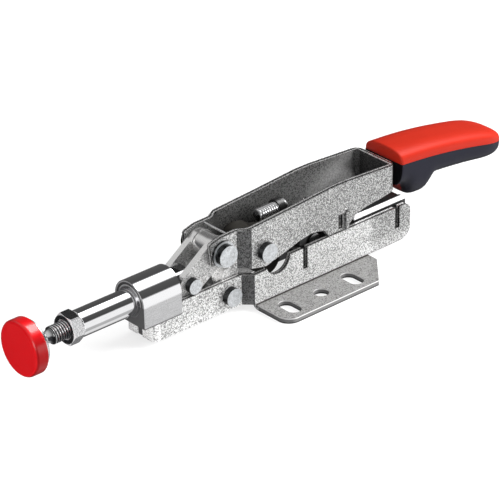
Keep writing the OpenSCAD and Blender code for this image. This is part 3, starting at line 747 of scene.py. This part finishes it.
class CLAMP_OT_handle(ClampOperator, bpy.types.Operator):
    """Finish the handle channel and cut the adjusting screw's thread"""
    bl_idname = "clamp.handle"
    bl_label = "Handle"

    def execute(self, context):
        dress("handle_channel", sheet_material("handle_sheet", self.colours.zinc, self.sizes.grain,
                                               handle_sides))
        soften("handle_channel", self.sizes.edge_round)
        dress("cross_wire", steel_material("wire_steel", self.colours.steel, 0.25))
        dress("screw_trunnion", steel_material("trunnion_steel", (0.10, 0.10, 0.10), 0.4))
        self.make_screw()
        return {"FINISHED"}

    def make_screw(self):
        """Threaded screw with a hexagon socket in its front end."""
        low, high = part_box("adjusting_screw")
        crest, axis_z = (high.y - low.y) / 2, (low.z + high.z) / 2
        material = thread_material("screw_steel", self.colours.steel, axis_z, crest,
                                   SCREW_DEPTH + 0.1 * MM, 0.45)

        def socket(a):
            return SOCKET_R / math.cos((a + math.pi / 6) % (math.pi / 3) - math.pi / 6)

        rings = [(low.x + SOCKET_DEPTH, socket), (low.x, socket), (low.x, crest - SCREW_BEVEL)]
        rings += thread_rings(low.x + SCREW_BEVEL, high.x - SCREW_BEVEL, crest, SCREW_PITCH,
                              SCREW_DEPTH, 0.8 * MM)
        rings += [(high.x, crest - SCREW_BEVEL)]
        mesh = turned_mesh("screw_threaded", axis_z, rings, 72, sharp=50)
        add_piece("screw_threaded", mesh, material, "force_screw",
                  ("adjusting_screw",))


class CLAMP_OT_anchor(ClampOperator, bpy.types.Operator):
    """Finish the rear housing, carriage, wedge and spring"""
    bl_idname = "clamp.anchor"
    bl_label = "Rear anchor"

    def execute(self, context):
        dress("anchor_housing", self.housing_material())
        dress("adjusting_carriage", steel_material("carriage_steel", [0.3, 0.3, 0.3], 0.3))
        bright = steel_material("wedge_steel", self.colours.steel, 0.15)
        dress("locking_wedge", bright)
        low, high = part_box("carriage_spring")
        axis_z = (low.z + high.z) / 2
        spring = add_piece("spring_coil", self.coil_mesh(low, high, axis_z), bright, "frame",
                           ("carriage_spring",))
        1 - CARRIAGE_TRAVEL / (high.x - low.x)
        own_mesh(spring)
        return {"FINISHED"}

    def coil_mesh(self, low, high, axis_z):
        """Round wire wound between the ends of the CAD spring."""
        per_turn, sides = 28, 12
        count = SPRING_TURNS * per_turn
        coil_r = (high.y - low.y) / 2 - WIRE_R
        points, faces = [], []
        for i in range(count + 1):
            a = 2 * math.pi * i / per_turn
            x = low.x + WIRE_R + (high.x - low.x - 2 * WIRE_R) * i / count
            for k in range(sides):
                b = 2 * math.pi * k / sides
                r = coil_r + WIRE_R * math.cos(b)
                points.append((x + WIRE_R * math.sin(b), r * math.cos(a), axis_z + r * math.sin(a)))
        for start in range(0, len(points) - sides, sides):
            for k in range(sides):
                n = (k + 1) % sides
                faces.append((start + k, start + n, start + sides + n, start + sides + k))
        faces.append(tuple(range(sides - 1, -1, -1)))
        faces.append(tuple(range(len(points) - sides, len(points))))
        return smooth_mesh("spring_coil", points, faces, 50)

    def housing_material(self):
        """Dark plates with a bright rolled edge on the roof: the bright band on its sides is partly its
        bright finish and partly painted highlight, and its top face keeps the dark colour as painted
        shade.
        """
        material, g = new_material("housing_steel")
        place, normal = g.split(g.place()), g.facing()
        rail = place[0].above(30 * MM, 2 * MM) * place[2].above(19.9 * MM, 0.3 * MM)
        rail = rail * (1.0 - normal[2].above(0.93, 0.1))
        draw = g.noise(0.3 * MM, 2.0, stretch=(0.05, 1, 1))
        shade = g.mix(rail, g.mix(draw, *shades(self.colours.steel, 0.03, 0.09)),
                      g.mix(draw, *shades(self.colours.steel, 0.92, 1.1)))
        finish_material(g, base_color=shade, metallic=0.7 - rail * 0.4,
                        roughness=0.34 - rail * 0.08, normal=g.bump(draw, 0.01 * MM, 0.5))
        return material


class GripForm:
    """The grip's outline: sections as in the solids, drawn finer and rounder at the rear.
    s is the distance from the grip's front end."""
    # Place of the front end, then length, half width, and length of the rounded rear
    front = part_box("grip_shell_upper")[0].x
    length, half, rear_round = 68.4 * MM, 12 * MM, 20 * MM
    # Parting line: its height at the front, its slope, and its bend for each metre squared
    start, slope, curve = 38.28 * MM, 0.0634, 1.575
    # Height over the parting line, depth under it, and how fast that depth lessens
    upper, lower, taper = 5.6 * MM, 12.8 * MM, 0.071
    # Finger stop: its place, half its run, and its depth
    stop_at, stop_run, stop_depth = 12.9 * MM, 7 * MM, 7.5 * MM
    # Half the gap between the shells, and how far the last section lies before the end
    seam, rear_stop = 0.06 * MM, 0.02 * MM
    # Sections along a shell, and steps round one section
    count, steps = 92, 56

    def part(self, s):
        """Height of the parting line."""
        return self.start - self.slope * s - self.curve * s * s

    def end(self, s):
        """Share of its size that a section keeps in the rounded rear."""
        past = s - self.length + self.rear_round
        return math.sqrt(max(0.0, 1 - (past / self.rear_round) ** 3)) if past > 0 else 1.0

    def power(self, s):
        """Power that squares a section: under 1 is squarer than a circle."""
        return 0.65 + 0.08 * math.exp(-(s / (14 * MM)) ** 2)

    def depth(self, s):
        """Depth of the lower shell, with the finger stop."""
        bulge = math.exp(-((s - self.stop_at) / self.stop_run) ** 4)
        return self.lower - self.taper * s + self.stop_depth * bulge

    def stations(self, nose):
        """Places along the grip: close together over the nose, then even, then close at the rear."""
        front = [nose * (1 - math.cos(math.pi / 2 * i / 8)) for i in range(9)]
        span = self.length - self.rear_stop - nose
        return front + [nose + span * math.sin(math.pi / 2 * i / self.count) ** 0.94
                        for i in range(1, self.count + 1)]

    def shell(self, name, below, nose):
        """Mesh of one shell, above or below the parting line, with its front edge rounded."""
        points, faces = [], []
        places = self.stations(nose)
        seam = -self.seam if below else self.seam
        for s in places:
            inset = nose - math.sqrt(max(0.0, nose ** 2 - (nose - s) ** 2)) if s < nose else 0.0
            k, p = self.end(s), self.power(s)
            half = (self.half - inset) * k
            height = (-self.depth(s) + inset) * k if below else (self.upper - inset) * k
            for j in range(self.steps + 1):
                a = math.pi * j / self.steps
                c, t = math.cos(a), math.sin(a)
                points.append((self.front + s, half * math.copysign(abs(c) ** p, c),
                               self.part(s) + height * max(0.0, t) ** p + seam))
        ring = self.steps + 1
        for i in range(len(places) - 1):
            for j in range(ring):
                n = (j + 1) % ring
                quad = (i * ring + j, i * ring + n, (i + 1) * ring + n, (i + 1) * ring + j)
                faces.append(quad[::-1] if below else quad)
        front = tuple(range(ring))
        rear = tuple((len(places) - 1) * ring + j for j in range(ring))
        faces += [front if below else front[::-1], rear[::-1] if below else rear]
        return smooth_mesh(name, points, faces, 42)


class CLAMP_OT_grip(ClampOperator, bpy.types.Operator):
    """Mould the grip's two shells and its red core"""
    bl_idname = "clamp.grip"
    bl_label = "Grip"

    def execute(self, context):
        form = GripForm()
        # Painted shade: the red shell keeps 0.95 of its brightness on faces that look forward and 0.72 on
        # its flanks, the dark shell 0.15 on its front.
        red = plastic_material("red_grip", self.colours.grip_red, 0.40, 0.95, side=0.72)
        add_piece("grip_upper", form.shell("grip_upper", False, 0.9 * MM), red, "handle",
                  ("grip_shell_upper",))
        dark = plastic_material("dark_grip", self.colours.grip_dark, 0.46, 0.15)
        add_piece("grip_lower", form.shell("grip_lower", True, 0.5 * MM), dark, "handle",
                  ("grip_shell_lower",))
        # The core is the grip's red at half brightness, which is painted shade under the lower shell, and
        # keeps 0.7 of it on its front.
        core = plastic_material("red_core", shades(self.colours.grip_red, 0.5, 1)[0], 0.4, 0.7)
        add_piece("grip_core", self.core_mesh(form), core, "handle")
        return {"FINISHED"}

    def core_mesh(self, form):
        """Red core that shows under the front of the lower shell."""
        points, faces = [], []
        count, steps = 14, 24
        for i in range(count + 1):
            s = 0.05 * MM + 8.6 * MM * i / count
            depth = form.depth(s) + 0.8 * MM * (1 - i / count) ** 0.6 - 0.1 * MM
            for j in range(steps + 1):
                a = math.pi * (0.06 + 0.88 * j / steps)
                c, p = math.cos(a), form.power(s)
                points.append((form.front + s, (form.half - 1.4 * MM) * math.copysign(abs(c) ** p, c),
                               form.part(s) - depth * math.sin(a) ** p))
        ring = steps + 1
        for i in range(count):
            for j in range(ring):
                n = (j + 1) % ring
                faces.append(((i + 1) * ring + j, (i + 1) * ring + n, i * ring + n, i * ring + j))
        faces += [tuple(range(ring)), tuple(count * ring + j for j in range(ring))[::-1]]
        return smooth_mesh("grip_core", points, faces, 42)


class CLAMP_OT_stage(ClampOperator, bpy.types.Operator):
    """Make the floor, the studio light and the camera"""
    bl_idname = "clamp.stage"
    bl_label = "Studio and camera"

    def execute(self, context):
        self.make_floor()
        self.make_world(context.scene)
        self.make_lamps()
        self.make_camera(context.scene)
        context.scene.view_settings.view_transform = "Standard"
        return {"FINISHED"}

    def make_floor(self):
        """Pale floor that shows soft shadows and isn't seen in the polished steel."""
        corners = [(x * FLOOR_HALF, y * FLOOR_HALF, -FLOOR_GAP)
                   for x, y in ((-1, -1), (1, -1), (1, 1), (-1, 1))]
        mesh = bpy.data.meshes.new("floor")
        mesh.from_pydata(corners, [], [(0, 1, 2, 3)])
        floor = bpy.data.objects.new("floor", mesh)
        bpy.context.scene.collection.objects.link(floor)
        material, g = new_material("pale_floor")
        path = g.add("ShaderNodeLightPath", output="Is Camera Ray")
        glossy = g.outputs(path, "Is Glossy Ray")
        plain = g.add("ShaderNodeBsdfDiffuse", {}, {"Color": (0.8, 0.8, 0.8)})
        seen = g.add("ShaderNodeBsdfDiffuse", {}, {"Color": (0.34, 0.34, 0.34)})
        glow = g.add("ShaderNodeEmission", {}, {"Color": (1, 1, 1), "Strength": 0.70})
        shown = g.add("ShaderNodeAddShader", {}, {0: seen, 1: glow})
        ground = g.add("ShaderNodeMixShader", {}, {0: path, 1: plain, 2: shown})
        clear = g.add("ShaderNodeBsdfTransparent")
        surface = g.add("ShaderNodeMixShader", {}, {0: glossy, 1: ground, 2: clear})
        g.finish(surface)
        mesh.materials.append(material)

    def make_world(self, scene):
        """White room with dark bands that run along the clamp, and two bright cards."""
        world = bpy.data.worlds.new("studio")
        scene.world = world
        world.use_nodes = True
        g = Graph(world.node_tree)
        way = g.add("ShaderNodeTexCoord", output="Generated")
        x, y, z = g.split(way)
        round_x = g.add("ShaderNodeMath", {"operation": "ARCTAN2"}, {0: z, 1: y * -1.0})
        turn = round_x / (2 * math.pi) + 0.5
        stops = [((angle + 180) / 360, (light,) * 3) for angle, light in ROOM_BANDS]
        right = g.add("ShaderNodeValToRGB", {"stops": stops}, {"Fac": turn})
        left = g.mix(z.above(0.4, 0.5), (0.04, 0.04, 0.045), (0.6, 0.6, 0.6))
        near_card = (1.0 - x.above(-0.6, 0.1)) * (1.0 - y.above(-0.3, 0.1))
        near_card = near_card * z.above(0.05, 0.1) * (1.0 - z.above(0.4, 0.1))
        left = g.mix(near_card, left, (4, 4, 4))
        low, high = ((angle + 180) / 360 for angle in CARD_ANGLES)
        top_card = x.above(CARD_X[0], 0.06) * (1.0 - x.above(CARD_X[1], 0.06))
        top_card = top_card * turn.above(low, 0.015) * (1.0 - turn.above(high, 0.015))
        room = g.mix(top_card, g.mix(x.above(0.05, 0.3), left, right), (9, 9, 9))
        path = g.add("ShaderNodeLightPath", output="Is Camera Ray")
        colour = g.mix(path, room, (1, 1, 1))
        back = g.add("ShaderNodeBackground", {}, {"Color": colour, "Strength": 1.0})
        g.finish(back)

    def make_lamps(self):
        """Soft lamps that add fill without showing in the polished steel."""
        for name, place, size, power in LAMPS:
            data = bpy.data.lights.new(name, "AREA")
            data.shape, data.size, data.energy = "SQUARE", size, power
            lamp = bpy.data.objects.new(name, data)
            bpy.context.scene.collection.objects.link(lamp)
            lamp.location = place
            lamp.rotation_mode = "QUATERNION"
            aim = Vector(CAMERA_TARGET) - Vector(place)
            lamp.rotation_quaternion = aim.to_track_quat("-Z", "Y")
            lamp.visible_glossy = False

    def make_camera(self, scene):
        """Camera at the photo's angle and distance."""
        a, e, roll = (math.radians(v) for v in (CAMERA_AZIMUTH, CAMERA_ELEVATION, CAMERA_ROLL))
        back = Vector((math.sin(a) * math.cos(e), -math.cos(a) * math.cos(e), math.sin(e)))
        right = Vector((math.cos(a), math.sin(a), 0))
        up = back.cross(right)
        turned = math.cos(roll) * right + math.sin(roll) * up
        upright = -math.sin(roll) * right + math.cos(roll) * up
        data = bpy.data.cameras.new("camera")
        data.lens, data.sensor_width = CAMERA_LENS, 36.0
        data.shift_x, data.shift_y = CAMERA_SHIFT
        data.clip_start, data.clip_end = 0.05, 20.0
        camera = bpy.data.objects.new("camera", data)
        scene.collection.objects.link(camera)
        matrix = Matrix((turned, upright, back)).transposed().to_4x4()
        matrix.translation = Vector(CAMERA_TARGET) + back * CAMERA_DISTANCE
        camera.matrix_world = matrix
        scene.camera = camera


STEPS = (CLAMP_OT_frame, CLAMP_OT_plunger, CLAMP_OT_cap, CLAMP_OT_linkage, CLAMP_OT_handle,
         CLAMP_OT_anchor, CLAMP_OT_grip, CLAMP_OT_stage)


class CLAMP_PT_panel(bpy.types.Panel):
    """Lists the steps that dress the clamp"""
    bl_label = "Toggle Clamp"
    bl_idname = "CLAMP_PT_panel"
    bl_space_type = "VIEW_3D"
    bl_region_type = "UI"
    bl_category = "Clamp"

    def draw(self, context):
        for group in (context.scene.clamp_sizes, context.scene.clamp_finishes):
            for name in group.__annotations__:
                self.layout.prop(group, name)
        for step in STEPS:
            self.layout.operator(step.bl_idname)


CLASSES = (ClampSizes, ClampFinishes, *STEPS, CLAMP_PT_panel)


def register():
    """Adds the classes and their settings to Blender."""
    for item in CLASSES:
        bpy.utils.register_class(item)
    bpy.types.Scene.clamp_sizes = bpy.props.PointerProperty(type=ClampSizes)
    bpy.types.Scene.clamp_finishes = bpy.props.PointerProperty(type=ClampFinishes)


def unregister():
    """Takes the settings and the classes out again."""
    del bpy.types.Scene.clamp_finishes
    del bpy.types.Scene.clamp_sizes
    for item in reversed(CLASSES):
        bpy.utils.unregister_class(item)


def main():
    """Runs every step in order."""
    register()
    bpy.ops.clamp.frame()
    bpy.ops.clamp.plunger()
    bpy.ops.clamp.cap()
    bpy.ops.clamp.linkage()
    bpy.ops.clamp.handle()
    bpy.ops.clamp.anchor()
    bpy.ops.clamp.grip()
    bpy.ops.clamp.stage()


if __name__ == "__main__":
    main()
